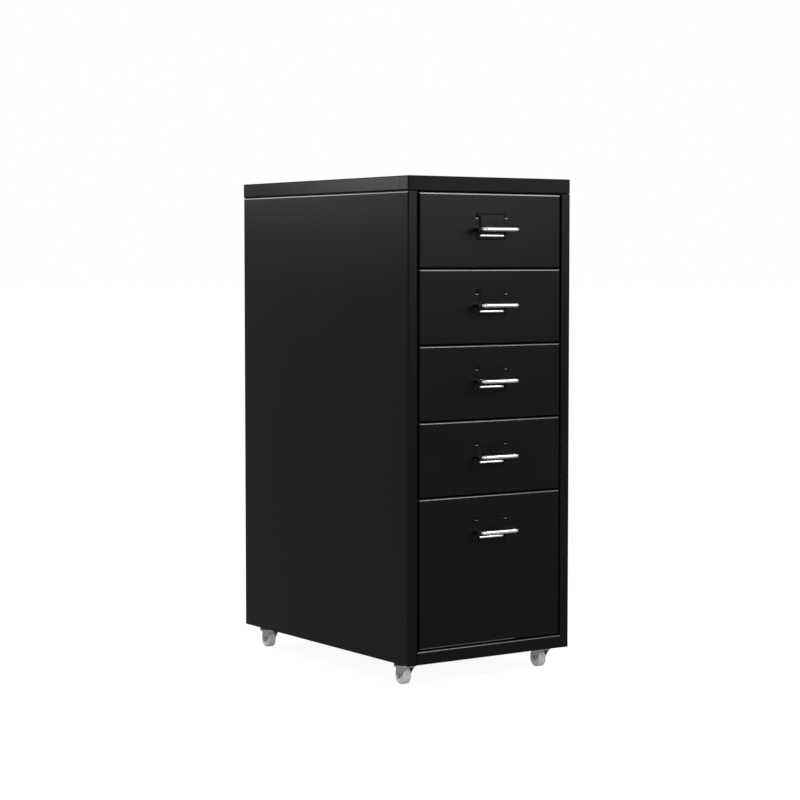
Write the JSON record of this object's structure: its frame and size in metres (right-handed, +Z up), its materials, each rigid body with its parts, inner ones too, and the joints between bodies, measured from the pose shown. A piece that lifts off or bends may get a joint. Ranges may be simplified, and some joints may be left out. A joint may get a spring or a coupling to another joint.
{
  "type": "drawer cabinet",
  "caption": "Narrow sheet-steel drawer cabinet on swivel casters, with low drawers over a deep one, wire pulls and label plates.",
  "frame": {"origin": "middle of the outline, pulls and screw heads included, on the floor under the casters", "axes": "+Z up, +X to the right seen from the front, the drawers open towards -Y"},
  "size_m": [0.275, 0.459, 0.689],
  "materials": {
    "black_paint": "black powder coat, fine satin grain",
    "plated_wire": "bright plated steel wire",
    "zinc_plate": "dull zinc plating",
    "ball_steel": "polished bearing balls",
    "wheel_plastic": "smooth light grey plastic"
  },
  "bodies": {
    "cabinet": {"top_panel": "black_paint", "left_side_panel": "black_paint", "right_side_panel": "black_paint", "back_panel": "black_paint", "bottom_panel": "black_paint", "panel_screws": "zinc_plate", "caster_screws": "zinc_plate", "caster_king_pins": "zinc_plate", "caster_balls": "ball_steel", "left_runner_1": "black_paint", "left_runner_2": "black_paint", "left_runner_3": "black_paint", "left_runner_4": "black_paint", "left_runner_5": "black_paint", "right_runner_1": "black_paint", "right_runner_2": "black_paint", "right_runner_3": "black_paint", "right_runner_4": "black_paint", "right_runner_5": "black_paint", "caster_front_left_plate": "zinc_plate", "caster_front_right_plate": "zinc_plate", "caster_rear_left_plate": "zinc_plate", "caster_rear_right_plate": "zinc_plate"},
    "drawer_1": {"drawer_1_front": "black_paint", "drawer_1_tray": "black_paint", "drawer_1_pull": "plated_wire", "drawer_1_label_plate": "black_paint", "drawer_1_card_bar": "plated_wire"},
    "drawer_2": {"drawer_2_front": "black_paint", "drawer_2_tray": "black_paint", "drawer_2_pull": "plated_wire", "drawer_2_label_plate": "black_paint", "drawer_2_card_bar": "plated_wire"},
    "drawer_3": {"drawer_3_front": "black_paint", "drawer_3_tray": "black_paint", "drawer_3_pull": "plated_wire", "drawer_3_label_plate": "black_paint", "drawer_3_card_bar": "plated_wire"},
    "drawer_4": {"drawer_4_front": "black_paint", "drawer_4_tray": "black_paint", "drawer_4_pull": "plated_wire", "drawer_4_label_plate": "black_paint", "drawer_4_card_bar": "plated_wire"},
    "drawer_5": {"drawer_5_front": "black_paint", "drawer_5_tray": "black_paint", "drawer_5_pull": "plated_wire", "drawer_5_label_plate": "black_paint", "drawer_5_card_bar": "plated_wire"},
    "caster_front_left_swivel": {"caster_front_left_fork": "zinc_plate", "caster_front_left_axle": "zinc_plate"},
    "caster_front_left_roller": {"caster_front_left_wheel": "wheel_plastic"},
    "caster_front_right_swivel": {"caster_front_right_fork": "zinc_plate", "caster_front_right_axle": "zinc_plate"},
    "caster_front_right_roller": {"caster_front_right_wheel": "wheel_plastic"},
    "caster_rear_left_swivel": {"caster_rear_left_fork": "zinc_plate", "caster_rear_left_axle": "zinc_plate"},
    "caster_rear_left_roller": {"caster_rear_left_wheel": "wheel_plastic"},
    "caster_rear_right_swivel": {"caster_rear_right_fork": "zinc_plate", "caster_rear_right_axle": "zinc_plate"},
    "caster_rear_right_roller": {"caster_rear_right_wheel": "wheel_plastic"}
  },
  "joints": [
    {"name": "drawer_1_slide", "type": "slide", "parent": "cabinet", "child": "drawer_1", "axis": [0, -1, 0], "range_m": [0, 0.3]},
    {"name": "drawer_2_slide", "type": "slide", "parent": "cabinet", "child": "drawer_2", "axis": [0, -1, 0], "range_m": [0, 0.3]},
    {"name": "drawer_3_slide", "type": "slide", "parent": "cabinet", "child": "drawer_3", "axis": [0, -1, 0], "range_m": [0, 0.3]},
    {"name": "drawer_4_slide", "type": "slide", "parent": "cabinet", "child": "drawer_4", "axis": [0, -1, 0], "range_m": [0, 0.3]},
    {"name": "drawer_5_slide", "type": "slide", "parent": "cabinet", "child": "drawer_5", "axis": [0, -1, 0], "range_m": [0, 0.3]},
    {"name": "caster_front_left_swivel_turn", "type": "hinge", "parent": "cabinet", "child": "caster_front_left_swivel", "pos_m": [-0.1165, -0.1645, 0.0284], "axis": [0, 0, 1], "continuous": true},
    {"name": "caster_front_left_wheel_spin", "type": "hinge", "parent": "caster_front_left_swivel", "child": "caster_front_left_roller", "pos_m": [-0.11606, -0.15952, 0.01249], "axis": [-0.9962, 0.0872, 0], "continuous": true},
    {"name": "caster_front_right_swivel_turn", "type": "hinge", "parent": "cabinet", "child": "caster_front_right_swivel", "pos_m": [0.1165, -0.1645, 0.0284], "axis": [0, 0, 1], "continuous": true},
    {"name": "caster_front_right_wheel_spin", "type": "hinge", "parent": "caster_front_right_swivel", "child": "caster_front_right_roller", "pos_m": [0.11694, -0.15952, 0.01249], "axis": [-0.9962, 0.0872, 0], "continuous": true},
    {"name": "caster_rear_left_swivel_turn", "type": "hinge", "parent": "cabinet", "child": "caster_rear_left_swivel", "pos_m": [-0.1165, 0.1895, 0.0284], "axis": [0, 0, 1], "continuous": true},
    {"name": "caster_rear_left_wheel_spin", "type": "hinge", "parent": "caster_rear_left_swivel", "child": "caster_rear_left_roller", "pos_m": [-0.11606, 0.19448, 0.01249], "axis": [-0.9962, 0.0872, 0], "continuous": true},
    {"name": "caster_rear_right_swivel_turn", "type": "hinge", "parent": "cabinet", "child": "caster_rear_right_swivel", "pos_m": [0.1165, 0.1895, 0.0284], "axis": [0, 0, 1], "continuous": true},
    {"name": "caster_rear_right_wheel_spin", "type": "hinge", "parent": "caster_rear_right_swivel", "child": "caster_rear_right_roller", "pos_m": [0.11296, 0.19304, 0.01249], "axis": [-0.7071, -0.7071, 0], "continuous": true}
  ]
}
